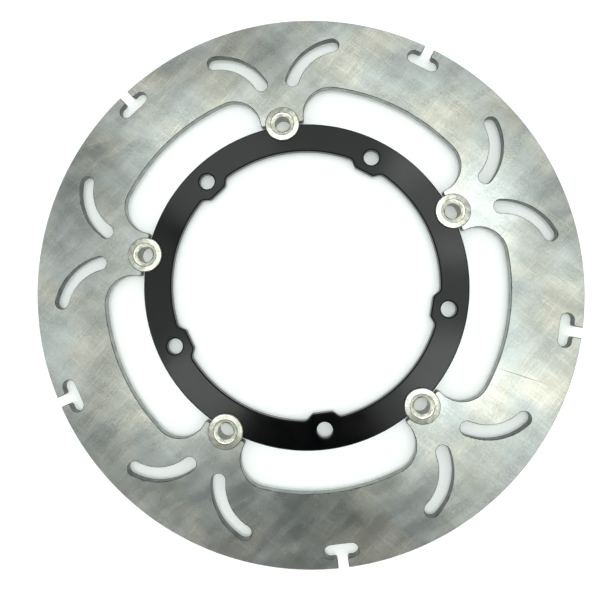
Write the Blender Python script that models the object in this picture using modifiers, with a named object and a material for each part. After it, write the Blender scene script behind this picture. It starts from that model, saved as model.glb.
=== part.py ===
"""Floating brake disc of a motorcycle.

A steel friction ring hangs on a black aluminium carrier by five hollow drive bobbins. Each bobbin
passes through a round seat that is half in the ring's ear and half in the carrier's rim, and is
held at the back by a wave washer, a flat washer and a retaining ring.

Metres, +Z up along the spin axis. The first bobbin is on +Y. Z = 0 is the plane that the bobbins'
back ends stand on when the disc lies on a table, front face up.
"""

import math

import bmesh
import bpy
from mathutils import Matrix, Vector

# The whole disc.
DRIVES = 5  # bobbins, and as many bolt holes, windows and rim notches
DISC_R = 0.1500  # outer radius of the friction ring
THICKNESS = 0.0050  # of the ring and of the carrier
GAP = 0.0003  # clearance between pieces that touch

# Friction ring.
TRACK_W = 0.0385  # rim to the windows
EAR_LENGTH = 0.0205  # windows' outer edge to the foot of an ear
EAR_WALL = 0.0051  # metal beside the bobbin's seat
EAR_FILLET_R = 0.0152
EAR_CORNER_R = 0.0010
FOOT_PLAY = 0.0015  # foot of an ear to the carrier's rim

# Notches in the rim, halfway between the bobbins.
NOTCH_MOUTH = 0.0055
NOTCH_BAR = 0.0182  # length of the crossbar
NOTCH_BAR_W = 0.0070
NOTCH_DEPTH = 0.0120
NOTCH_LIP_R = 0.0013

# Curved slots, a mirrored pair above each bobbin.
SLOT_W = 0.0075
SLOT_BEND_R = 0.0285
SLOT_INNER_X = 0.00905  # end centres, from the bobbin's radial line
SLOT_OUTER_X = 0.03415
SLOT_RIM_WALL = 0.01035

# Carrier.
CARRIER_W = 0.01545
BOLT_INSET = 0.0102  # rim of the carrier to the bolt circle
BOLT_HOLE_R = 0.0043
LOBE_WALL = 0.0048  # metal inside a bolt hole
LOBE_FLAT = 0.0112
LOBE_SLOPE = math.radians(42)
LOBE_CORNER_R = 0.0025
LOBE_FOOT_R = 0.0035

# Bobbins and what holds them.
BORE_R = 0.0045
BODY_R = 0.0069
FLANGE_OVERHANG = 0.0027
FLANGE_T = 0.0013
FLANGE_EDGE = 0.0004
BORE_CHAMFER = 0.0015
BORE_CHAMFER_DEPTH = 0.0010
GROOVE_DEPTH = 0.0007
END_LIP = 0.0007
RETAINER_T = 0.0009
RETAINER_W = 0.0021
RETAINER_MOUTH = math.radians(56)
FLAT_WASHER_T = 0.0006
FLAT_WASHER_W = 0.0022
WAVE_WASHER_T = 0.0003
WAVE_HEIGHT = 0.0006
WAVES = 3
WAVE_WASHER_W = 0.0019

# Roundness of the solids.
CHORD_ERROR = 0.00005  # how far a chord of an outline may lie inside its arc
TURN_STEPS = 24
WAVE_STEPS = 36
WELD = 1e-6

# Sizes that follow.
SECTOR = 2 * math.pi / DRIVES
WINDOW_R = DISC_R - TRACK_W
FOOT_R = WINDOW_R - EAR_LENGTH
CARRIER_R = FOOT_R - FOOT_PLAY
HUB_R = CARRIER_R - CARRIER_W
BOLT_CIRCLE_R = CARRIER_R - BOLT_INSET
BOBBIN_CIRCLE_R = (FOOT_R + CARRIER_R) / 2
SEAT_R = BODY_R + GAP
GROOVE_R = BODY_R - GROOVE_DEPTH

# Heights, from the bobbins' back ends up to their flanges.
RETAINER_Z = END_LIP + GAP
GROOVE_TOP = RETAINER_Z + RETAINER_T + GAP
FLAT_WASHER_Z = GROOVE_TOP
WAVE_WASHER_Z = FLAT_WASHER_Z + FLAT_WASHER_T + GAP
PLATE_Z = WAVE_WASHER_Z + WAVE_WASHER_T + WAVE_HEIGHT + GAP
FLANGE_Z = PLATE_Z + THICKNESS + GAP
TOP_Z = FLANGE_Z + FLANGE_T

BOBBIN_LINES = [math.pi / 2 + k * SECTOR for k in range(DRIVES)]
BOLT_LINES = [line + SECTOR / 2 for line in BOBBIN_LINES]


def clear_scene():
    for obj in list(bpy.data.objects):
        bpy.data.objects.remove(obj, do_unlink=True)


def material(name, colour, roughness, metallic):
    made = bpy.data.materials.new(name)
    made.use_nodes = True
    shader = made.node_tree.nodes["Principled BSDF"]
    shader.inputs["Base Color"].default_value = (*colour, 1.0)
    shader.inputs["Roughness"].default_value = roughness
    shader.inputs["Metallic"].default_value = metallic
    return made


# ---------------------------------------------------------------- outlines


def arc(centre, radius, start, end):
    """Points from the angle start to the angle end, both included."""
    step = 2 * math.acos(1 - CHORD_ERROR / radius)
    count = max(1, round(abs(end - start) / step))
    angles = [start + (end - start) * i / count for i in range(count + 1)]
    return [Vector(centre) + radius * Vector((math.cos(a), math.sin(a))) for a in angles]


def mirrored(points):
    return [Vector((-p.x, p.y)) for p in reversed(points)]


def turned_to(points, line):
    """The points of a sector drawn around +Y, turned so that its middle is on this line."""
    turn = Matrix.Rotation(line - math.pi / 2, 2)
    return [turn @ p for p in points]


def around(right_half, lines):
    """One closed outline: the right half of a sector and its mirror image, at each line."""
    sector = right_half + mirrored(right_half)
    outline = []
    for line in lines:
        outline += turned_to(sector, line)
    return without_repeats(outline)


def without_repeats(points):
    return [p for i, p in enumerate(points) if (p - points[i - 1]).length > WELD]


def on_circle(radius, x):
    """The point at this x on the upper half of a circle about the disc's axis."""
    return Vector((x, math.sqrt(radius**2 - x**2)))


def angle_of(point):
    return math.atan2(point.y, point.x)


def seat_edge(circle_r):
    """Where the bobbin's seat meets a circle about the disc's axis, on the right."""
    y = (circle_r**2 - SEAT_R**2 + BOBBIN_CIRCLE_R**2) / (2 * BOBBIN_CIRCLE_R)
    return Vector((math.sqrt(circle_r**2 - y**2), y))


def rim_outline():
    """The friction ring's rim with its notches, drawn around a bolt line."""
    half_mouth = NOTCH_MOUTH / 2
    bar_r = NOTCH_BAR_W / 2
    bar_top = DISC_R - NOTCH_DEPTH + NOTCH_BAR_W
    bar_end = (NOTCH_BAR / 2 - bar_r, bar_top - bar_r)
    mouth = on_circle(DISC_R, half_mouth)
    right = arc((0, 0), DISC_R, math.pi / 2 - SECTOR / 2, angle_of(mouth))
    lip_centre = (half_mouth + NOTCH_LIP_R, bar_top + NOTCH_LIP_R)
    right += arc(lip_centre, NOTCH_LIP_R, math.pi, 1.5 * math.pi)
    right += arc(bar_end, bar_r, math.pi / 2, -math.pi / 2)
    return around(right, BOLT_LINES)


def ear_outline():
    """The ring's inner edge, drawn around a bobbin: window, fillet, ear, foot and seat."""
    ear_x = SEAT_R + EAR_WALL
    fillet = on_circle(WINDOW_R - EAR_FILLET_R, ear_x + EAR_FILLET_R)
    corner = on_circle(FOOT_R + EAR_CORNER_R, ear_x - EAR_CORNER_R)
    seat = seat_edge(FOOT_R)
    seat_centre = Vector((0, BOBBIN_CIRCLE_R))
    right = arc((0, 0), WINDOW_R, math.pi / 2 - SECTOR / 2, angle_of(fillet))
    right += arc(fillet, EAR_FILLET_R, angle_of(fillet), math.pi)
    right += arc(corner, EAR_CORNER_R, 0, angle_of(corner) - math.pi)
    right += arc((0, 0), FOOT_R, angle_of(corner), angle_of(seat))
    right += arc(seat_centre, SEAT_R, angle_of(seat - seat_centre), math.pi / 2)
    return around(right, BOBBIN_LINES)


def slot_outline():
    """The right-hand slot of a pair, drawn around a bobbin: a bent slot with round ends."""
    half = SLOT_W / 2
    inner = on_circle(WINDOW_R + half, SLOT_INNER_X)
    outer = on_circle(DISC_R - SLOT_RIM_WALL - half, SLOT_OUTER_X)
    chord = outer - inner
    inward = Vector((chord.y, -chord.x)).normalized()
    sagitta_leg = math.sqrt(SLOT_BEND_R**2 - (chord.length / 2) ** 2)
    centre = (inner + outer) / 2 + inward * sagitta_leg
    first = angle_of(inner - centre)
    last = angle_of(outer - centre)
    outline = arc(centre, SLOT_BEND_R + half, first, last)
    outline += arc(outer, half, last, last - math.pi)
    outline += arc(centre, SLOT_BEND_R - half, last, first)
    outline += arc(inner, half, first + math.pi, first)
    return without_repeats(outline)


def carrier_rim_outline():
    """The carrier's rim, drawn around a bobbin, with the bobbin's half of the seat cut in."""
    seat = seat_edge(CARRIER_R)
    seat_centre = Vector((0, BOBBIN_CIRCLE_R))
    right = arc((0, 0), CARRIER_R, math.pi / 2 - SECTOR / 2, angle_of(seat))
    right += arc(seat_centre, SEAT_R, angle_of(seat - seat_centre), -math.pi / 2)
    return around(right, BOBBIN_LINES)


def lobe_outline():
    """The carrier's hub opening, drawn around a bolt hole: round, with a lobe at each hole."""
    along = Vector((math.cos(LOBE_SLOPE), math.sin(LOBE_SLOPE)))
    away = Vector((along.y, -along.x))
    corner = Vector((LOBE_FLAT / 2, BOLT_CIRCLE_R - BOLT_HOLE_R - LOBE_WALL))
    foot_start = corner + LOBE_FOOT_R * away
    reach = foot_start.dot(along)
    foot_slide = math.sqrt(reach**2 - foot_start.length**2 + (HUB_R - LOBE_FOOT_R) ** 2) - reach
    foot = foot_start + foot_slide * along
    tangent = LOBE_CORNER_R * math.tan(LOBE_SLOPE / 2)
    corner_centre = corner + Vector((-tangent, LOBE_CORNER_R))
    right = arc((0, 0), HUB_R, math.pi / 2 - SECTOR / 2, angle_of(foot))
    right += arc(foot, LOBE_FOOT_R, angle_of(foot), LOBE_SLOPE + math.pi / 2)
    right += arc(corner_centre, LOBE_CORNER_R, LOBE_SLOPE - math.pi / 2, -math.pi / 2)
    return around(right, BOLT_LINES)


def retainer_outline():
    """A retaining ring lying open towards +Y, with round ends."""
    inner_r = GROOVE_R + GAP
    end_r = RETAINER_W / 2
    middle_r = inner_r + end_r
    start = math.pi / 2 - RETAINER_MOUTH / 2
    end = start - 2 * math.pi + RETAINER_MOUTH
    start_centre = middle_r * Vector((math.cos(start), math.sin(start)))
    end_centre = middle_r * Vector((math.cos(end), math.sin(end)))
    outline = arc((0, 0), middle_r + end_r, start, end)
    outline += arc(end_centre, end_r, end, end - math.pi)
    outline += arc((0, 0), inner_r, end, start)
    outline += arc(start_centre, end_r, start + math.pi, start)
    return without_repeats(outline)


# ---------------------------------------------------------------- solids


def plate(name, outlines, thickness, collection):
    """A flat solid from closed outlines, the first one outside, with its middle at Z = 0."""
    curve = bpy.data.curves.new(name, "CURVE")
    curve.dimensions = "2D"
    curve.fill_mode = "BOTH"
    curve.extrude = thickness / 2
    for outline in outlines:
        spline = curve.splines.new("POLY")
        spline.points.add(len(outline) - 1)
        for point, place in zip(spline.points, outline):
            point.co = (*place, 0, 1)
        spline.use_cyclic_u = True
    guide = bpy.data.objects.new(f"{name}_outline", curve)
    collection.objects.link(guide)
    graph = bpy.context.evaluated_depsgraph_get()
    mesh = bpy.data.meshes.new_from_object(guide.evaluated_get(graph))
    bpy.data.objects.remove(guide)
    shape = bmesh.new()
    shape.from_mesh(mesh)
    bmesh.ops.remove_doubles(shape, verts=shape.verts, dist=WELD)
    bmesh.ops.recalc_face_normals(shape, faces=shape.faces)
    shape.to_mesh(mesh)
    shape.free()
    mesh.name = name
    return mesh


def turned(name, profile, steps, collection):
    """A solid turned about Z from a closed profile of (radius, height) points."""
    mesh = bpy.data.meshes.new(name)
    vertices = [(radius, 0, height) for radius, height in profile]
    edges = [(i, (i + 1) % len(profile)) for i in range(len(profile))]
    mesh.from_pydata(vertices, edges, [])
    guide = bpy.data.objects.new(f"{name}_profile", mesh)
    collection.objects.link(guide)
    screw = guide.modifiers.new("Turn", "SCREW")
    screw.steps = steps
    screw.render_steps = steps
    screw.use_merge_vertices = True
    screw.merge_threshold = WELD
    graph = bpy.context.evaluated_depsgraph_get()
    solid = bpy.data.meshes.new_from_object(guide.evaluated_get(graph))
    bpy.data.objects.remove(guide)
    solid.name = name
    return solid


def place(name, mesh, finish, collection, location, turn=0.0):
    """A named piece of the disc, with its own origin at location."""
    mesh = mesh.copy()
    mesh.name = name
    mesh.materials.clear()
    mesh.materials.append(finish)
    mesh.shade_smooth()
    mesh.set_sharp_from_angle(angle=math.radians(30))
    piece = bpy.data.objects.new(name, mesh)
    piece.location = location
    piece.rotation_euler.z = turn
    collection.objects.link(piece)
    return piece


def friction_ring(finish, collection):
    slots = []
    for line in BOBBIN_LINES:
        right = slot_outline()
        slots += [turned_to(right, line), turned_to(mirrored(right), line)]
    outlines = [rim_outline(), ear_outline(), *slots]
    mesh = plate("friction_ring", outlines, THICKNESS, collection)
    return place("friction_ring", mesh, finish, collection, (0, 0, PLATE_Z + THICKNESS / 2))


def carrier(finish, collection):
    holes = []
    for line in BOLT_LINES:
        centre = BOLT_CIRCLE_R * Vector((math.cos(line), math.sin(line)))
        holes.append(arc(centre, BOLT_HOLE_R, 0, 2 * math.pi)[:-1])
    outlines = [carrier_rim_outline(), lobe_outline(), *holes]
    mesh = plate("carrier", outlines, THICKNESS, collection)
    return place("carrier", mesh, finish, collection, (0, 0, PLATE_Z + THICKNESS / 2))


def bobbin_mesh(collection):
    """A hollow rivet-like pin: flange on top, groove for the retaining ring near its back end."""
    flange_r = BODY_R + FLANGE_OVERHANG
    profile = [
        (BORE_R + BORE_CHAMFER, TOP_Z),
        (flange_r - FLANGE_EDGE, TOP_Z),
        (flange_r, TOP_Z - FLANGE_EDGE),
        (flange_r, FLANGE_Z),
        (BODY_R, FLANGE_Z),
        (BODY_R, GROOVE_TOP),
        (GROOVE_R, GROOVE_TOP),
        (GROOVE_R, END_LIP),
        (BODY_R, END_LIP),
        (BODY_R, 0),
        (BORE_R, 0),
        (BORE_R, TOP_Z - BORE_CHAMFER_DEPTH),
    ]
    return turned("bobbin", profile, TURN_STEPS, collection)


def washer_mesh(name, width, thickness, steps, collection):
    inner_r = BODY_R + GAP
    outer_r = inner_r + width
    profile = [(inner_r, thickness), (outer_r, thickness), (outer_r, 0), (inner_r, 0)]
    return turned(name, profile, steps, collection)


def wave_washer_mesh(collection):
    """A thin washer bent into waves, with its lowest points at Z = 0."""
    mesh = washer_mesh("wave_washer", WAVE_WASHER_W, WAVE_WASHER_T, WAVE_STEPS, collection)
    for vertex in mesh.vertices:
        angle = math.atan2(vertex.co.y, vertex.co.x)
        vertex.co.z += WAVE_HEIGHT / 2 * (1 + math.cos(WAVES * angle))
    return mesh


def drive_sets(finishes, collection):
    """Each bobbin with its wave washer, flat washer and retaining ring, on the bobbin's axis."""
    kinds = [
        ("bobbin", bobbin_mesh(collection), 0, finishes["nickel"]),
        ("wave_washer", wave_washer_mesh(collection), WAVE_WASHER_Z, finishes["spring"]),
        (
            "flat_washer",
            washer_mesh("flat_washer", FLAT_WASHER_W, FLAT_WASHER_T, TURN_STEPS, collection),
            FLAT_WASHER_Z,
            finishes["zinc"],
        ),
        (
            "retaining_ring",
            plate("retaining_ring", [retainer_outline()], RETAINER_T, collection),
            RETAINER_Z + RETAINER_T / 2,
            finishes["phosphate"],
        ),
    ]
    for number, line in enumerate(BOBBIN_LINES, start=1):
        x = BOBBIN_CIRCLE_R * math.cos(line)
        y = BOBBIN_CIRCLE_R * math.sin(line)
        for kind, mesh, height, finish in kinds:
            place(f"{kind}_{number}", mesh, finish, collection, (x, y, height), line)


def build():
    clear_scene()
    collection = bpy.data.collections.new("brake_disc_rotor")
    bpy.context.scene.collection.children.link(collection)
    finishes = {
        "steel": material("ground_steel", (0.56, 0.57, 0.55), 0.34, 1.0),
        "anodised": material("black_anodised_aluminium", (0.035, 0.036, 0.038), 0.42, 0.5),
        "nickel": material("nickel_plate", (0.80, 0.78, 0.70), 0.26, 1.0),
        "spring": material("spring_steel", (0.42, 0.42, 0.40), 0.35, 1.0),
        "zinc": material("zinc_plate", (0.62, 0.63, 0.62), 0.38, 1.0),
        "phosphate": material("black_phosphate", (0.08, 0.08, 0.08), 0.55, 0.8),
    }
    friction_ring(finishes["steel"], collection)
    carrier(finishes["anodised"], collection)
    drive_sets(finishes, collection)


build()
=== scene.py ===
"""Looks of a floating motorcycle brake disc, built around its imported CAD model.

Every piece is modelled finer than its CAD solid, with the chamfers, countersinks and turned faces
that a machinist would leave, and gets a procedural metal of its own.

Metres, +Z up along the spin axis, in the CAD model's own frame. The first bobbin is on +Y.
"""

import math

import bmesh
import bpy
from mathutils import Matrix, Vector


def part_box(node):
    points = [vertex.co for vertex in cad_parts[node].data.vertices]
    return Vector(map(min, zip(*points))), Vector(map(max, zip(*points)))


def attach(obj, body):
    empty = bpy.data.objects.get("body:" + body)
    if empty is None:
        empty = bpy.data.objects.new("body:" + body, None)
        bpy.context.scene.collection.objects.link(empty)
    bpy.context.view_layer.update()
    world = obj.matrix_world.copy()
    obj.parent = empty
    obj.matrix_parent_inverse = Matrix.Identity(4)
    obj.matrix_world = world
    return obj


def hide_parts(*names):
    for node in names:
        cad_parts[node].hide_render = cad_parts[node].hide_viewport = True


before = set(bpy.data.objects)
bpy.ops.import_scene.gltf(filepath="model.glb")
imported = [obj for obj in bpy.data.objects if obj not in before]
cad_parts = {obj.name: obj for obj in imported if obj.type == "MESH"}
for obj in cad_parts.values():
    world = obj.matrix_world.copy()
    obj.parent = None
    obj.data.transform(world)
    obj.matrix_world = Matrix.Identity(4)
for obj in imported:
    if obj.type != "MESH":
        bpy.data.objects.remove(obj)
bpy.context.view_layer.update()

# Sizes that the CAD model gives.
DRIVES = 5
RING_LOW, RING_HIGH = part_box("friction_ring")
CARRIER_LOW, CARRIER_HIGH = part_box("carrier")
BOBBIN_LOW, BOBBIN_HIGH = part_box("bobbin_1")
WAVE_LOW, WAVE_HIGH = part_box("wave_washer_1")
WASHER_LOW, WASHER_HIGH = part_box("flat_washer_1")
RETAINER_LOW, RETAINER_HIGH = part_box("retaining_ring_1")
DISC_R = (RING_HIGH.x - RING_LOW.x) / 2
CARRIER_R = (CARRIER_HIGH.x - CARRIER_LOW.x) / 2
BOBBIN_CIRCLE_R = (BOBBIN_HIGH.y + BOBBIN_LOW.y) / 2
PLATE_LOW = RING_LOW.z
PLATE_HIGH = RING_HIGH.z
TOP_Z = BOBBIN_HIGH.z

# Friction ring.
TRACK_W = 0.0385  # rim to the windows
EAR_LENGTH = 0.0205  # windows' outer edge to the foot of an ear
EAR_WALL = 0.0051  # metal beside the bobbin's seat
EAR_FILLET_R = 0.0152
EAR_CORNER_R = 0.0014
NOTCH_MOUTH = 0.0055
NOTCH_BAR = 0.0182
NOTCH_BAR_W = 0.0070
NOTCH_DEPTH = 0.0120
NOTCH_LIP_R = 0.0013
SLOT_W = 0.0075
SLOT_BEND_R = 0.0285
SLOT_INNER_X = 0.00905
SLOT_OUTER_X = 0.03415
SLOT_RIM_WALL = 0.01035
RING_CHAMFER = 0.00035
SCRATCH_TURN = math.radians(25.9)
SCRATCH_OFFSET = -0.01095
SCRATCH_START = 0.1120
SCRATCH_END = 0.1405

# Carrier.
CARRIER_W = 0.01545
BOLT_INSET = 0.0102
BOLT_HOLE_R = 0.0043
LOBE_WALL = 0.0048
LOBE_FLAT = 0.0112
LOBE_SLOPE = math.radians(42)
LOBE_CORNER_R = 0.0025
LOBE_FOOT_R = 0.0035
CARRIER_CHAMFER = 0.0007

# Bobbins and what holds them.
GAP = 0.0003
BORE_R = 0.0044
BODY_R = 0.0069
FLANGE_OVERHANG = 0.0027
FLANGE_T = 0.0013
FLANGE_CHAMFER = 0.00042
FLANGE_FALL = 0.0002  # the flange's face slopes down this much towards its edge
COUNTERSINK_W = 0.0013
COUNTERSINK_DEPTH = 0.00125
TURNED_GROOVE_R = 0.0063  # where the countersink's rim meets the flange's face
TURNED_GROOVE_W = 0.0004
TURNED_GROOVE_DEPTH = 0.00016
GROOVE_DEPTH = 0.0007
END_LIP = 0.0007
END_CHAMFER = 0.0003
RETAINER_W = 0.0021
RETAINER_MOUTH = math.radians(56)
RETAINER_CHAMFER = 0.00012
FLAT_WASHER_W = 0.0022
WAVE_WASHER_T = 0.0003
WAVES = 3
WAVE_WASHER_W = 0.0019
WASHER_ROUND = 0.00012

# Roundness.
CHORD_ERROR = 0.000004
TURN_STEPS = 128
WELD = 1e-7
SHARP_ANGLE = math.radians(28)

# Sizes that follow.
SECTOR = 2 * math.pi / DRIVES
WINDOW_R = DISC_R - TRACK_W
FOOT_R = WINDOW_R - EAR_LENGTH
HUB_R = CARRIER_R - CARRIER_W
BOLT_CIRCLE_R = CARRIER_R - BOLT_INSET
SEAT_R = BODY_R + GAP
FLANGE_R = BODY_R + FLANGE_OVERHANG
FLANGE_Z = TOP_Z - FLANGE_T
GROOVE_R = BODY_R - GROOVE_DEPTH
GROOVE_TOP = WASHER_LOW.z
BOBBIN_LINES = [math.pi / 2 + k * SECTOR for k in range(DRIVES)]
BOLT_LINES = [line + SECTOR / 2 for line in BOBBIN_LINES]


# ---------------------------------------------------------------- outlines


def arc(centre, radius, start, end):
    """Points from the angle start to the angle end, both included."""
    step = 2 * math.acos(1 - CHORD_ERROR / radius)
    count = max(1, round(abs(end - start) / step))
    angles = [start + (end - start) * i / count for i in range(count + 1)]
    return [Vector(centre) + radius * Vector((math.cos(a), math.sin(a))) for a in angles]


def mirrored(points):
    return [Vector((-p.x, p.y)) for p in reversed(points)]


def turned_to(points, line):
    """The points of a sector drawn around +Y, turned so that its middle is on this line."""
    turn = Matrix.Rotation(line - math.pi / 2, 2)
    return [turn @ p for p in points]


def without_repeats(points):
    return [p for i, p in enumerate(points) if (p - points[i - 1]).length > WELD]


def around(right_half, lines):
    """One closed outline: the right half of a sector and its mirror image, at each line."""
    sector = right_half + mirrored(right_half)
    outline = []
    for line in lines:
        outline += turned_to(sector, line)
    return without_repeats(outline)


def on_circle(radius, x):
    return Vector((x, math.sqrt(radius**2 - x**2)))


def angle_of(point):
    return math.atan2(point.y, point.x)


def seat_edge(circle_r):
    """Where the bobbin's seat meets a circle about the disc's axis, on the right."""
    y = (circle_r**2 - SEAT_R**2 + BOBBIN_CIRCLE_R**2) / (2 * BOBBIN_CIRCLE_R)
    return Vector((math.sqrt(circle_r**2 - y**2), y))


def rim_outline():
    """The friction ring's rim with its notches, drawn around a bolt line."""
    half_mouth = NOTCH_MOUTH / 2
    bar_r = NOTCH_BAR_W / 2
    bar_top = DISC_R - NOTCH_DEPTH + NOTCH_BAR_W
    bar_end = (NOTCH_BAR / 2 - bar_r, bar_top - bar_r)
    mouth = on_circle(DISC_R, half_mouth)
    right = arc((0, 0), DISC_R, math.pi / 2 - SECTOR / 2, angle_of(mouth))
    lip_centre = (half_mouth + NOTCH_LIP_R, bar_top + NOTCH_LIP_R)
    right += arc(lip_centre, NOTCH_LIP_R, math.pi, 1.5 * math.pi)
    right += arc(bar_end, bar_r, math.pi / 2, -math.pi / 2)
    return around(right, BOLT_LINES)


def ear_outline():
    """The ring's inner edge, drawn around a bobbin: window, fillet, ear, foot and seat."""
    ear_x = SEAT_R + EAR_WALL
    fillet = on_circle(WINDOW_R - EAR_FILLET_R, ear_x + EAR_FILLET_R)
    corner = on_circle(FOOT_R + EAR_CORNER_R, ear_x - EAR_CORNER_R)
    seat = seat_edge(FOOT_R)
    seat_centre = Vector((0, BOBBIN_CIRCLE_R))
    right = arc((0, 0), WINDOW_R, math.pi / 2 - SECTOR / 2, angle_of(fillet))
    right += arc(fillet, EAR_FILLET_R, angle_of(fillet), math.pi)
    right += arc(corner, EAR_CORNER_R, 0, angle_of(corner) - math.pi)
    right += arc((0, 0), FOOT_R, angle_of(corner), angle_of(seat))
    right += arc(seat_centre, SEAT_R, angle_of(seat - seat_centre), math.pi / 2)
    return around(right, BOBBIN_LINES)


def slot_outline():
    """The right-hand slot of a pair, drawn around a bobbin: a bent slot with round ends."""
    half = SLOT_W / 2
    inner = on_circle(WINDOW_R + half, SLOT_INNER_X)
    outer = on_circle(DISC_R - SLOT_RIM_WALL - half, SLOT_OUTER_X)
    chord = outer - inner
    inward = Vector((chord.y, -chord.x)).normalized()
    sagitta_leg = math.sqrt(SLOT_BEND_R**2 - (chord.length / 2) ** 2)
    centre = (inner + outer) / 2 + inward * sagitta_leg
    first = angle_of(inner - centre)
    last = angle_of(outer - centre)
    outline = arc(centre, SLOT_BEND_R + half, first, last)
    outline += arc(outer, half, last, last - math.pi)
    outline += arc(centre, SLOT_BEND_R - half, last, first)
    outline += arc(inner, half, first + math.pi, first)
    return without_repeats(outline)


def carrier_rim_outline():
    """The carrier's rim, drawn around a bobbin, with the bobbin's half of the seat cut in."""
    seat = seat_edge(CARRIER_R)
    seat_centre = Vector((0, BOBBIN_CIRCLE_R))
    right = arc((0, 0), CARRIER_R, math.pi / 2 - SECTOR / 2, angle_of(seat))
    right += arc(seat_centre, SEAT_R, angle_of(seat - seat_centre), -math.pi / 2)
    return around(right, BOBBIN_LINES)


def lobe_outline():
    """The carrier's hub opening, drawn around a bolt hole: round, with a lobe at each hole."""
    along = Vector((math.cos(LOBE_SLOPE), math.sin(LOBE_SLOPE)))
    away = Vector((along.y, -along.x))
    corner = Vector((LOBE_FLAT / 2, BOLT_CIRCLE_R - BOLT_HOLE_R - LOBE_WALL))
    foot_start = corner + LOBE_FOOT_R * away
    reach = foot_start.dot(along)
    foot_slide = math.sqrt(reach**2 - foot_start.length**2 + (HUB_R - LOBE_FOOT_R) ** 2) - reach
    foot = foot_start + foot_slide * along
    tangent = LOBE_CORNER_R * math.tan(LOBE_SLOPE / 2)
    corner_centre = corner + Vector((-tangent, LOBE_CORNER_R))
    right = arc((0, 0), HUB_R, math.pi / 2 - SECTOR / 2, angle_of(foot))
    right += arc(foot, LOBE_FOOT_R, angle_of(foot), LOBE_SLOPE + math.pi / 2)
    right += arc(corner_centre, LOBE_CORNER_R, LOBE_SLOPE - math.pi / 2, -math.pi / 2)
    return around(right, BOLT_LINES)


def retainer_outline():
    """A retaining ring lying open towards +Y, with round ends."""
    inner_r = GROOVE_R + GAP
    end_r = RETAINER_W / 2
    middle_r = inner_r + end_r
    start = math.pi / 2 - RETAINER_MOUTH / 2
    end = start - 2 * math.pi + RETAINER_MOUTH
    start_centre = middle_r * Vector((math.cos(start), math.sin(start)))
    end_centre = middle_r * Vector((math.cos(end), math.sin(end)))
    outline = arc((0, 0), middle_r + end_r, start, end)
    outline += arc(end_centre, end_r, end, end - math.pi)
    outline += arc((0, 0), inner_r, end, start)
    outline += arc(start_centre, end_r, start + math.pi, start)
    return without_repeats(outline)


# ---------------------------------------------------------------- meshes


def area(outline):
    """Signed: positive when the outline runs anticlockwise."""
    return sum(outline[i - 1].cross(p) for i, p in enumerate(outline)) / 2


def inset(outline, depth):
    """The outline moved into the metal on its left by depth."""
    moved = []
    for i, point in enumerate(outline):
        before = (point - outline[i - 1]).normalized()
        after = (outline[(i + 1) % len(outline)] - point).normalized()
        left = Vector((-before.y - after.y, before.x + after.x))
        moved.append(point + left * 2 * depth / left.length_squared)
    return moved


FACE, EDGE, WALL, LIGHTER_PAINTED_SHADE_WALL = range(4)  # material slots of a plate


def plate(name, outlines, low, high, chamfer, walls=(WALL,)):
    """A flat solid from closed outlines, the first one outside, with chamfered edges.

    walls holds the material of each outline's wall, and its last one serves the rest.
    """
    shape = bmesh.new()
    levels = [(low, chamfer), (low + chamfer, 0), (high - chamfer, 0), (high, chamfer)]
    rims = {low: [], high: []}
    for index, outline in enumerate(outlines):
        wall_material = walls[min(index, len(walls) - 1)]
        anticlockwise = area(outline) > 0
        if anticlockwise != (index == 0):
            outline = outline[::-1]
        loops = [[shape.verts.new((*p, z)) for p in inset(outline, d)] for z, d in levels]
        for step, (lower, upper) in enumerate(zip(loops, loops[1:])):
            for i in range(len(lower)):
                wall = shape.faces.new((lower[i - 1], lower[i], upper[i], upper[i - 1]))
                wall.material_index = wall_material if step == 1 else EDGE
        for height, loop in ((low, loops[0]), (high, loops[-1])):
            rims[height] += [shape.edges.get((loop[i - 1], loop[i])) for i in range(len(loop))]
    for height, rim in rims.items():
        up = 1 if height == high else -1
        bmesh.ops.triangle_fill(shape, edges=rim, use_beauty=True, normal=(0, 0, up))
    bmesh.ops.recalc_face_normals(shape, faces=shape.faces)
    mesh = bpy.data.meshes.new(name)
    shape.to_mesh(mesh)
    shape.free()
    return mesh


def lathe(name, profile):
    """A solid turned about Z from a closed profile of (radius, height, material) points.

    A point's material goes to the band from it to the next point.
    """
    shape = bmesh.new()
    columns = []
    for step in range(TURN_STEPS):
        angle = 2 * math.pi * step / TURN_STEPS
        columns.append([
            shape.verts.new((r * math.cos(angle), r * math.sin(angle), z)) for r, z, _ in profile
        ])
    for step, column in enumerate(columns):
        before = columns[step - 1]
        for i, (_, _, material) in enumerate(profile):
            j = (i + 1) % len(profile)
            band = shape.faces.new((before[i], column[i], column[j], before[j]))
            band.material_index = material
    bmesh.ops.recalc_face_normals(shape, faces=shape.faces)
    mesh = bpy.data.meshes.new(name)
    shape.to_mesh(mesh)
    shape.free()
    return mesh


def rounded(corner, before, after, radius, material, steps=4):
    """A profile's corner, rounded between the directions to its two neighbours."""
    corner = Vector(corner)
    to_before = (Vector(before) - corner).normalized()
    to_after = (Vector(after) - corner).normalized()
    points = []
    for i in range(steps + 1):
        t = i / steps
        point = corner + radius * ((1 - t) ** 2 * to_before + t**2 * to_after)
        points.append((point.x, point.y, material))
    return points


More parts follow.
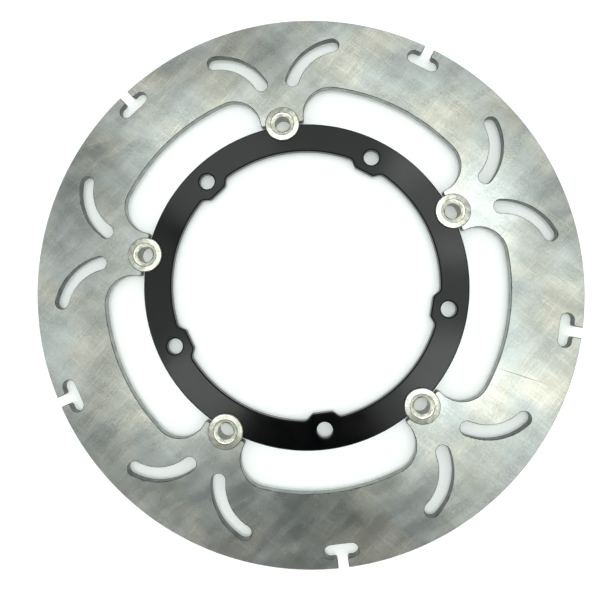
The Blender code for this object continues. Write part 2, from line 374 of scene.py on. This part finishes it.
def bobbin_profile():
    """Flange face, countersink and bore, flange edge, body, groove and back end."""
    face, turned, painted_shade_band, bore_painted_shade = 0, 1, 2, 3
    groove_in = TURNED_GROOVE_R
    groove_out = groove_in + TURNED_GROOVE_W
    floor = TOP_Z - TURNED_GROOVE_DEPTH
    edge_z = TOP_Z - FLANGE_FALL
    back = END_CHAMFER
    # the groove's floor, the flange's edge and the bore's wall get nickel painted darker as painted
    # shade
    return [
        (BORE_R, TOP_Z - COUNTERSINK_DEPTH, turned),
        (BORE_R + COUNTERSINK_W, TOP_Z - 0.00004, turned),
        (BORE_R + COUNTERSINK_W + 0.00008, TOP_Z, face),
        (groove_in, TOP_Z, turned),
        (groove_in + TURNED_GROOVE_DEPTH / 2, floor, painted_shade_band),
        (groove_out - TURNED_GROOVE_DEPTH / 2, floor, turned),
        (groove_out, TOP_Z, face),
        (FLANGE_R - FLANGE_CHAMFER, edge_z, painted_shade_band),
        (FLANGE_R, edge_z - FLANGE_CHAMFER, painted_shade_band),
        (FLANGE_R, FLANGE_Z + back / 2, painted_shade_band),
        (FLANGE_R - back / 2, FLANGE_Z, turned),
        (BODY_R, FLANGE_Z, turned),
        (BODY_R, GROOVE_TOP, turned),
        (GROOVE_R, GROOVE_TOP, turned),
        (GROOVE_R, END_LIP, turned),
        (BODY_R, END_LIP, turned),
        (BODY_R, back, turned),
        (BODY_R - back, 0, turned),
        (BORE_R + back, 0, turned),
        (BORE_R, back, bore_painted_shade),
    ]


def washer_profile(width, thickness):
    """A flat washer's section, with rounded edges."""
    inner = BODY_R + GAP
    outer = inner + width
    corners = [(inner, thickness), (outer, thickness), (outer, 0), (inner, 0)]
    profile = []
    for i, corner in enumerate(corners):
        profile += rounded(corner, corners[i - 1], corners[(i + 1) % 4], WASHER_ROUND, 0, 3)
    return profile


def wave_washer_mesh():
    """A thin washer bent into waves."""
    mesh = lathe("wave_washer", washer_profile(WAVE_WASHER_W, WAVE_WASHER_T))
    rise = WAVE_HIGH.z - WAVE_LOW.z - WAVE_WASHER_T
    for vertex in mesh.vertices:
        angle = math.atan2(vertex.co.y, vertex.co.x)
        vertex.co.z += rise / 2 * (1 + math.cos(WAVES * angle))
    return mesh


# ---------------------------------------------------------------- materials


class Shading:
    """A material being built from nodes, with its own shader."""

    def __init__(self, name, colour, roughness, metallic):
        self.material = bpy.data.materials.new(name)
        self.material.use_nodes = True
        tree = self.material.node_tree
        self.nodes = tree.nodes
        self.links = tree.links
        self.shader = tree.nodes["Principled BSDF"]
        self.set(self.shader, "Base Color", (*colour, 1))
        self.set(self.shader, "Roughness", roughness)
        self.set(self.shader, "Metallic", metallic)
        self.place = self.add("ShaderNodeTexCoord").outputs["Object"]

    def add(self, kind, **settings):
        node = self.nodes.new(kind)
        for key, value in settings.items():
            setattr(node, key, value)
        return node

    def set(self, node, socket, value):
        """A socket takes a value or another node's output."""
        if isinstance(value, bpy.types.NodeSocket):
            self.links.new(value, node.inputs[socket])
        else:
            node.inputs[socket].default_value = value

    def stretched(self, scale, angle=0.0, shift=(0, 0, 0), place=None):
        """The place on the piece, turned about Z and then scaled."""
        turn = self.add("ShaderNodeVectorRotate", rotation_type="Z_AXIS")
        self.set(turn, "Vector", self.place if place is None else place)
        self.set(turn, "Angle", angle)
        scaled = self.add("ShaderNodeVectorMath", operation="MULTIPLY_ADD")
        self.set(scaled, 0, turn.outputs["Vector"])
        self.set(scaled, 1, scale)
        self.set(scaled, 2, shift)
        return scaled.outputs["Vector"]

    def wandering(self, size, reach):
        """The place on the piece, pushed about so that straight patterns bend."""
        push = self.add("ShaderNodeTexNoise")
        self.set(push, "Vector", self.place)
        self.set(push, "Scale", 1 / size)
        self.set(push, "Detail", 1.0)
        moved = self.add("ShaderNodeVectorMath", operation="MULTIPLY_ADD")
        self.set(moved, 0, push.outputs["Color"])
        self.set(moved, 1, (reach, reach, 0))
        self.set(moved, 2, self.place)
        return moved.outputs["Vector"]

    def noise(self, place, detail=2.0, roughness=0.5, distortion=0.0, scale=1.0):
        node = self.add("ShaderNodeTexNoise")
        self.set(node, "Vector", place)
        self.set(node, "Scale", scale)
        self.set(node, "Detail", detail)
        self.set(node, "Roughness", roughness)
        self.set(node, "Distortion", distortion)
        return node.outputs["Fac"]

    def remap(self, value, low, high, to_low=0.0, to_high=1.0):
        node = self.add("ShaderNodeMapRange")
        self.set(node, "Value", value)
        self.set(node, "From Min", low)
        self.set(node, "From Max", high)
        self.set(node, "To Min", to_low)
        self.set(node, "To Max", to_high)
        return node.outputs["Result"]

    def maths(self, operation, first, second):
        node = self.add("ShaderNodeMath", operation=operation)
        self.set(node, 0, first)
        self.set(node, 1, second)
        return node.outputs["Value"]

    def mix(self, factor, first, second, blend="MIX"):
        node = self.add("ShaderNodeMix", data_type="RGBA", blend_type=blend)
        for socket, value in ((0, factor), (6, first), (7, second)):
            if isinstance(value, bpy.types.NodeSocket):
                self.links.new(value, node.inputs[socket])
            elif isinstance(value, tuple):
                node.inputs[socket].default_value = (*value, 1)
            else:
                node.inputs[socket].default_value = value
        return node.outputs[2]

    def bump(self, height, strength, distance, normal=None):
        node = self.add("ShaderNodeBump")
        self.set(node, "Strength", strength)
        self.set(node, "Distance", distance)
        self.set(node, "Height", height)
        if normal is not None:
            self.set(node, "Normal", normal)
        return node.outputs["Normal"]

    def radius(self):
        """Distance from the piece's own Z axis."""
        parts = self.add("ShaderNodeSeparateXYZ")
        self.set(parts, "Vector", self.place)
        flat = self.add("ShaderNodeCombineXYZ")
        self.set(flat, "X", parts.outputs["X"])
        self.set(flat, "Y", parts.outputs["Y"])
        length = self.add("ShaderNodeVectorMath", operation="LENGTH")
        self.set(length, 0, flat.outputs["Vector"])
        return length.outputs["Value"]

    def finish(self, colour=None, roughness=None, normal=None):
        for socket, value in (("Base Color", colour), ("Roughness", roughness), ("Normal", normal)):
            if value is not None:
                self.set(self.shader, socket, value)
        return self.material


def hairlines(made, place, spacing, angle, length, keep, shift):
    """Sparse fine lines: 1 on a line and 0 elsewhere."""
    across = 1 / spacing
    line = made.noise(made.stretched((1 / length, across, across), angle, shift, place), 0.0)
    return made.remap(line, keep, keep + 0.08)


def long_scratch(made):
    """One straight scratch across the pads' track: 1 on it and 0 elsewhere."""
    turn = made.add("ShaderNodeVectorRotate", rotation_type="Z_AXIS")
    made.set(turn, "Vector", made.place)
    made.set(turn, "Angle", SCRATCH_TURN)
    parts = made.add("ShaderNodeSeparateXYZ")
    made.set(parts, "Vector", turn.outputs["Vector"])
    along, across, up = (parts.outputs[axis] for axis in "XYZ")
    off = made.maths("ABSOLUTE", made.maths("SUBTRACT", across, SCRATCH_OFFSET), 0.0)
    line = made.remap(off, 0.0001, 0.0003, 1.0, 0.0)
    line = made.maths("MULTIPLY", line, made.remap(along, SCRATCH_START, SCRATCH_START + 0.004))
    line = made.maths("MULTIPLY", line, made.remap(along, SCRATCH_END - 0.008, SCRATCH_END, 1.0, 0.0))
    front = made.remap(up, PLATE_HIGH - 0.002, PLATE_HIGH - 0.001)
    return made.maths("MULTIPLY", line, front)


def ground_steel():
    """The pads' faces: ground flat, wiped, and marked by handling."""
    made = Shading("ground_steel_face", (0.42, 0.44, 0.425), 0.27, 1.0)
    bent = made.wandering(0.06, 0.02)
    patches = made.noise(made.stretched((34, 34, 34), 0.0, (1, 8, 0)), 2.5, 0.5, 0.2)
    clouds = made.noise(made.stretched((20, 20, 20), 0.0, (5, 2, 0)), 2.0, 0.5)
    smears = made.noise(made.stretched((40, 115, 90), -0.55, (3, 1, 0), bent), 2.0, 0.5)
    wipes = made.noise(made.stretched((36, 150, 90), 0.8, (0, 5, 2), bent), 2.0, 0.5)
    grain = made.noise(made.stretched((650, 650, 650)), 3.0, 0.65)
    marks = made.noise(made.stretched((50, 50, 50), 0.0, (2, 2, 0)), 2.0, 0.5)
    hairs = hairlines(made, bent, 0.0012, 0.45, 0.020, 0.64, (7, 0, 0))
    for angle, shift in ((2.1, (0, 9, 0)), (-0.35, (4, 4, 0)), (1.2, (2, 6, 0))):
        more = hairlines(made, bent, 0.0013, angle, 0.017, 0.65, shift)
        hairs = made.maths("MAXIMUM", hairs, more)
    hairs = made.maths("MULTIPLY", hairs, made.remap(marks, 0.42, 0.62))
    bright = hairlines(made, made.place, 0.0010, -0.75, 0.014, 0.62, (3, 3, 0))
    crossing = hairlines(made, made.place, 0.0011, 0.8, 0.012, 0.63, (8, 1, 0))
    bright = made.maths("MAXIMUM", bright, crossing)
    bright = made.maths("MULTIPLY", bright, made.remap(patches, 0.45, 0.6, 0.45, 1.0))
    warm = made.remap(patches, 0.42, 0.68)
    tone = made.mix(warm, (0.450, 0.484, 0.466), (0.535, 0.528, 0.456))
    shade = made.remap(smears, 0.30, 0.70, 0.89, 1.10)
    shade = made.maths("MULTIPLY", shade, made.remap(wipes, 0.30, 0.70, 0.90, 1.09))
    shade = made.maths("MULTIPLY", shade, made.remap(clouds, 0.35, 0.65, 0.82, 1.18))
    shade = made.maths("MULTIPLY", shade, made.remap(grain, 0.3, 0.7, 0.92, 1.08))
    shade = made.maths("MULTIPLY", shade, made.remap(hairs, 0.0, 1.0, 1.0, 0.95))
    shade = made.maths("MULTIPLY", shade, made.remap(bright, 0.0, 1.0, 1.0, 1.13))
    shade = made.maths("MULTIPLY", shade, made.remap(long_scratch(made), 0.0, 1.0, 1.0, 0.5))
    colour = made.mix(1.0, tone, shade, "MULTIPLY")
    roughness = made.remap(smears, 0.3, 0.7, 0.255, 0.295)
    normal = made.bump(grain, 0.10, 0.00004)
    return made.finish(colour, roughness, normal)


def steel_edge_painted_shade():
    """Chamfers, painted dark as painted shade along the plate's edges, and lighter in random places.
    """
    made = Shading("ground_steel_chamfer_painted_shade", (0.14, 0.15, 0.145), 0.30, 1.0)
    wear = made.noise(made.stretched((260, 260, 260)), 3.0, 0.6)
    colour = made.mix(made.remap(wear, 0.35, 0.65), (0.035, 0.04, 0.038), (0.20, 0.21, 0.20))
    return made.finish(colour, made.remap(wear, 0.3, 0.7, 0.26, 0.40))


def cut_steel(name, level):
    """Walls that were cut through the plate, with the cut's upright marks; level paints them darker
    than the face as painted shade.
    """
    tone = (level, 1.08 * level, 1.04 * level)
    made = Shading(name, tone, 0.45, 0.9)
    made.set(made.shader, "Specular IOR Level", 0.3)
    marks = made.noise(made.stretched((2600, 2600, 120)), 2.0, 0.6)
    stain = made.noise(made.stretched((220, 220, 220)), 3.0, 0.5)
    shade = made.remap(stain, 0.3, 0.7, 0.7, 1.2)
    shade = made.maths("MULTIPLY", shade, made.remap(marks, 0.3, 0.7, 0.8, 1.15))
    colour = made.mix(1.0, tone, shade, "MULTIPLY")
    normal = made.bump(marks, 0.4, 0.0001)
    return made.finish(colour, made.remap(marks, 0.3, 0.7, 0.38, 0.52), normal)


def anodised(name, colour, low, high, grain_strength, shine=0.5):
    """Black anodised aluminium, a satin skin over a milled face."""
    made = Shading(name, colour, (low + high) / 2, 0.0)
    made.set(made.shader, "Specular IOR Level", shine)
    made.set(made.shader, "IOR", 1.42)
    cloud = made.noise(made.stretched((70, 70, 70)), 3.0, 0.5, 0.4)
    grain = made.noise(made.stretched((2400, 2400, 2400)), 2.0, 0.5)
    warm = tuple(c * k for c, k in zip(colour, (1.6, 1.2, 1.0)))
    cool = tuple(c * k for c, k in zip(colour, (0.6, 0.9, 1.1)))
    tint = made.mix(made.remap(cloud, 0.35, 0.65), cool, warm)
    fine = made.remap(grain, 0.3, 0.7, -0.02, 0.02)
    roughness = made.maths("ADD", made.remap(cloud, 0.3, 0.7, low, high), fine)
    return made.finish(tint, roughness, made.bump(grain, grain_strength, 0.00003))


def turned_nickel(name, low, high, anisotropy, pitch, level=1.0):
    """Plated steel with the fine rings that a lathe leaves; level scales the colour, and copies below
    1 are painted shade.
    """
    made = Shading(name, (0.62, 0.63, 0.54), (low + high) / 2, 1.0)
    made.set(made.shader, "Anisotropic", anisotropy)
    tangent = made.add("ShaderNodeTangent", direction_type="RADIAL", axis="Z")
    made.set(made.shader, "Tangent", tangent.outputs["Tangent"])
    radius = made.radius()
    stain = made.noise(made.stretched((520, 520, 520)), 3.0, 0.6, 0.5)
    light = tuple(level * part for part in (0.68, 0.69, 0.60))
    dark = tuple(level * part for part in (0.40, 0.405, 0.33))
    colour = made.mix(made.remap(stain, 0.40, 0.62), light, dark)
    rings = made.add("ShaderNodeTexNoise", noise_dimensions="1D")
    made.set(rings, "W", made.maths("DIVIDE", radius, pitch))
    made.set(rings, "Scale", 1.0)
    made.set(rings, "Detail", 2.0)
    fine = made.remap(rings.outputs["Fac"], 0.3, 0.7, low, high)
    roughness = made.maths("ADD", fine, made.remap(stain, 0.3, 0.7, -0.02, 0.04))
    return made.finish(colour, roughness, made.bump(rings.outputs["Fac"], 0.25, 0.00004))


def plated(name, light, dark, low, high, metallic=1.0):
    """Small pressed parts: plated or blacked, rubbed bright in places."""
    made = Shading(name, light, (low + high) / 2, metallic)
    cloud = made.noise(made.stretched((480, 480, 480)), 3.0, 0.6, 0.3)
    grain = made.noise(made.stretched((2600, 2600, 2600)), 2.0, 0.5)
    colour = made.mix(made.remap(cloud, 0.35, 0.65), light, dark)
    return made.finish(colour, made.remap(cloud, 0.3, 0.7, low, high), made.bump(grain, 0.15, 0.00003))


# ---------------------------------------------------------------- pieces


def place(name, mesh, materials, slot, body, node, location=(0, 0, 0), turn=0.0):
    """A finished piece that stands for a CAD node and moves with its body."""
    mesh = mesh.copy()
    mesh.name = name
    for material in materials:
        mesh.materials.append(material)
    mesh.shade_smooth()
    mesh.set_sharp_from_angle(angle=SHARP_ANGLE)
    piece = bpy.data.objects.new(name, mesh)
    piece.location = location
    piece.rotation_euler.z = turn
    bpy.context.scene.collection.objects.link(piece)
    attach(piece, body)
    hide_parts(node)
    return piece


def make_ring():
    """The friction ring, with its notches, windows and slots."""
    slots = []
    for line in BOBBIN_LINES:
        right = slot_outline()
        slots += [turned_to(right, line), turned_to(mirrored(right), line)]
    outlines = [rim_outline(), ear_outline(), *slots]
    # the ear and window wall takes the copy with lighter painted shade
    walls = (WALL, LIGHTER_PAINTED_SHADE_WALL, WALL)
    mesh = plate("friction_ring_fine", outlines, PLATE_LOW, PLATE_HIGH, RING_CHAMFER, walls)
    steels = [
        ground_steel(),
        # the ring's chamfers: painted dark as painted shade along its edges
        steel_edge_painted_shade(),
        # the walls: painted darker than the face as painted shade, the windows' walls less so
        cut_steel("ground_steel_wall_painted_shade", 0.18),
        cut_steel("ground_steel_window_lighter_painted_shade", 0.30),
    ]
    place("friction_ring_fine", mesh, steels, "ground_steel", "ring", "friction_ring")


def make_carrier():
    """The carrier, with its seats, lobes and bolt holes."""
    holes = []
    for line in BOLT_LINES:
        centre = BOLT_CIRCLE_R * Vector((math.cos(line), math.sin(line)))
        holes.append(arc(centre, BOLT_HOLE_R, 0, 2 * math.pi)[:-1])
    outlines = [carrier_rim_outline(), lobe_outline(), *holes]
    mesh = plate("carrier_fine", outlines, CARRIER_LOW.z, CARRIER_HIGH.z, CARRIER_CHAMFER)
    blacks = [
        anodised("black_anodised_face", (0.0010, 0.0014, 0.0014), 0.12, 0.15, 0.05),
        anodised("black_anodised_chamfer", (0.0008, 0.0009, 0.001), 0.14, 0.2, 0.03, 0.2),
        anodised("black_anodised_wall", (0.004, 0.004, 0.0045), 0.25, 0.35, 0.12),
    ]
    place("carrier_fine", mesh, blacks, "black_anodised", "carrier", "carrier")


def make_drives():
    """Each bobbin with its wave washer, flat washer and retaining ring, on the bobbin's axis."""
    # one nickel in four copies; the third and fourth are painted darker as painted shade at the
    # flange's edge, the groove and the bore
    nickel = [
        turned_nickel("nickel_flange_face", 0.24, 0.34, 0.65, 0.00016),
        turned_nickel("nickel_turned", 0.14, 0.22, 0.3, 0.0002, 1.1),
        turned_nickel("nickel_painted_shade_band", 0.28, 0.38, 0.2, 0.0002, 0.28),
        turned_nickel("nickel_bore_painted_shade", 0.30, 0.40, 0.2, 0.0002, 0.5),
    ]
    spring = [plated("spring_steel_bare", (0.46, 0.44, 0.40), (0.30, 0.27, 0.23), 0.26, 0.38)]
    zinc = [plated("zinc_plate_bright", (0.66, 0.68, 0.70), (0.50, 0.52, 0.52), 0.28, 0.42)]
    black = [plated("phosphate_black", (0.055, 0.055, 0.058), (0.10, 0.098, 0.095), 0.42, 0.6, 0.6)]
    retainer_t = RETAINER_HIGH.z - RETAINER_LOW.z
    retainer = plate("retaining_ring", [retainer_outline()], 0, retainer_t, RETAINER_CHAMFER)
    washer_t = WASHER_HIGH.z - WASHER_LOW.z
    washer = lathe("flat_washer", washer_profile(FLAT_WASHER_W, washer_t))
    kinds = [
        ("bobbin", lathe("bobbin", bobbin_profile()), 0, nickel, "nickel"),
        ("wave_washer", wave_washer_mesh(), WAVE_LOW.z, spring, "spring_steel"),
        ("flat_washer", washer, WASHER_LOW.z, zinc, "zinc_plate"),
        ("retaining_ring", retainer, RETAINER_LOW.z, black * 3, "black_phosphate"),
    ]
    for number, line in enumerate(BOBBIN_LINES, start=1):
        x = BOBBIN_CIRCLE_R * math.cos(line)
        y = BOBBIN_CIRCLE_R * math.sin(line)
        for kind, mesh, height, materials, slot in kinds:
            node = f"{kind}_{number}"
            body = f"bobbin_{number}"
            place(f"{node}_fine", mesh, materials, slot, body, node, (x, y, height), line)


# ---------------------------------------------------------------- floor, light and camera

FLOOR_SIZE = 40.0
FLOOR_GLOW = 0.14
PANEL_DISTANCE = 1.3
PANELS = [  # softboxes: name, direction round Z, angle from straight up, diameter, watts
    ("overhead", 90, 2, 0.35, 4.0),
    ("window", 330, 22, 0.70, 1.8),
    ("back", 68, 23, 0.50, 0.8),
    ("left", 178, 25, 0.50, 0.6),
    ("right_low", 318, 19, 0.25, 0.35),
    ("right_high", 28, 21, 0.40, 0.9),
    ("left_high", 122, 21, 0.40, 0.8),
    ("left_low", 213, 19, 0.25, 0.5),
]
PANEL_TINT = (0.955, 1.0, 0.975)
SKY = [  # the room's brightness by height: 0 is level and 1 is straight up
    (0.0, 0.8),
    (0.12, 0.85),
    (0.26, 1.0),
    (0.5, 1.2),
    (0.7, 1.15),
    (0.83, 0.7),
    (0.92, 0.0),
    (1.0, 0.0),
]
CAMERA_PLACE = (0.00945, -0.00528, 0.3060)
CAMERA_TILT = (math.radians(4.92), math.radians(2.73), math.radians(-8.08))
CAMERA_LENS = 32.4
CAMERA_SHIFT = (0.0047, -0.0933)


def make_floor():
    """A wide sheet of pale paper under the part."""
    mesh = bpy.data.meshes.new("floor")
    shape = bmesh.new()
    bmesh.ops.create_grid(shape, x_segments=2, y_segments=2, size=FLOOR_SIZE / 2)
    shape.to_mesh(mesh)
    shape.free()
    floor = bpy.data.objects.new("floor", mesh)
    bpy.context.scene.collection.objects.link(floor)
    made = Shading("floor_paper", (0.92, 0.955, 0.945), 0.9, 0.0)
    made.set(made.shader, "Emission Color", (0.97, 1.0, 0.99, 1.0))
    made.set(made.shader, "Emission Strength", FLOOR_GLOW)
    tone = made.noise(made.stretched((9, 9, 9)), 2.0)
    colour = made.mix(tone, (0.91, 0.945, 0.935), (0.93, 0.965, 0.955))
    floor.data.materials.append(made.finish(colour))


def make_sky():
    """A plain room: pale at the sides and darker straight up."""
    world = bpy.data.worlds.new("room")
    world.use_nodes = True
    nodes = world.node_tree.nodes
    links = world.node_tree.links
    place = nodes.new("ShaderNodeTexCoord")
    parts = nodes.new("ShaderNodeSeparateXYZ")
    links.new(place.outputs["Generated"], parts.inputs[0])
    ramp = nodes.new("ShaderNodeFloatCurve")
    curve = ramp.mapping.curves[0]
    highest = max(level for _, level in SKY)
    for index, (height, level) in enumerate(SKY):
        if index < 2:
            point = curve.points[index]
            point.location = (height, level / highest)
        else:
            point = curve.points.new(height, level / highest)
    ramp.mapping.update()
    links.new(parts.outputs["Z"], ramp.inputs["Value"])
    scale = nodes.new("ShaderNodeMath")
    scale.operation = "MULTIPLY"
    scale.inputs[1].default_value = highest
    links.new(ramp.outputs[0], scale.inputs[0])
    links.new(scale.outputs[0], nodes["Background"].inputs["Strength"])
    nodes["Background"].inputs["Color"].default_value = (0.985, 1.0, 0.99, 1)
    bpy.context.scene.world = world


def make_panels():
    """Disc-shaped softboxes, all at one distance and turned towards the disc."""
    aim = Vector((0, 0, PLATE_HIGH))
    for name, azimuth, tilt, diameter, watts in PANELS:
        light = bpy.data.lights.new(f"panel_{name}", "AREA")
        light.shape = "DISK"
        light.size = diameter
        light.energy = watts
        light.color = PANEL_TINT
        panel = bpy.data.objects.new(light.name, light)
        off = math.radians(tilt)
        round_z = math.radians(azimuth)
        flat = Vector((math.cos(round_z), math.sin(round_z), 0))
        away = math.sin(off) * flat + Vector((0, 0, math.cos(off)))
        panel.location = aim + PANEL_DISTANCE * away
        panel.rotation_euler = away.to_track_quat("Z", "Y").to_euler()
        panel.visible_camera = False
        bpy.context.scene.collection.objects.link(panel)


def make_camera():
    """The photograph's viewpoint: almost straight above."""
    lens = bpy.data.cameras.new("camera")
    lens.lens = CAMERA_LENS
    lens.shift_x, lens.shift_y = CAMERA_SHIFT
    lens.clip_start = 0.01
    lens.dof.use_dof = False
    camera = bpy.data.objects.new("camera", lens)
    camera.rotation_mode = "YXZ"
    camera.location = CAMERA_PLACE
    camera.rotation_euler = CAMERA_TILT
    bpy.context.scene.collection.objects.link(camera)
    bpy.context.scene.camera = camera


make_camera()
make_floor()
make_sky()
make_panels()
make_ring()
make_carrier()
make_drives()
bpy.context.scene.view_settings.view_transform = "Standard"
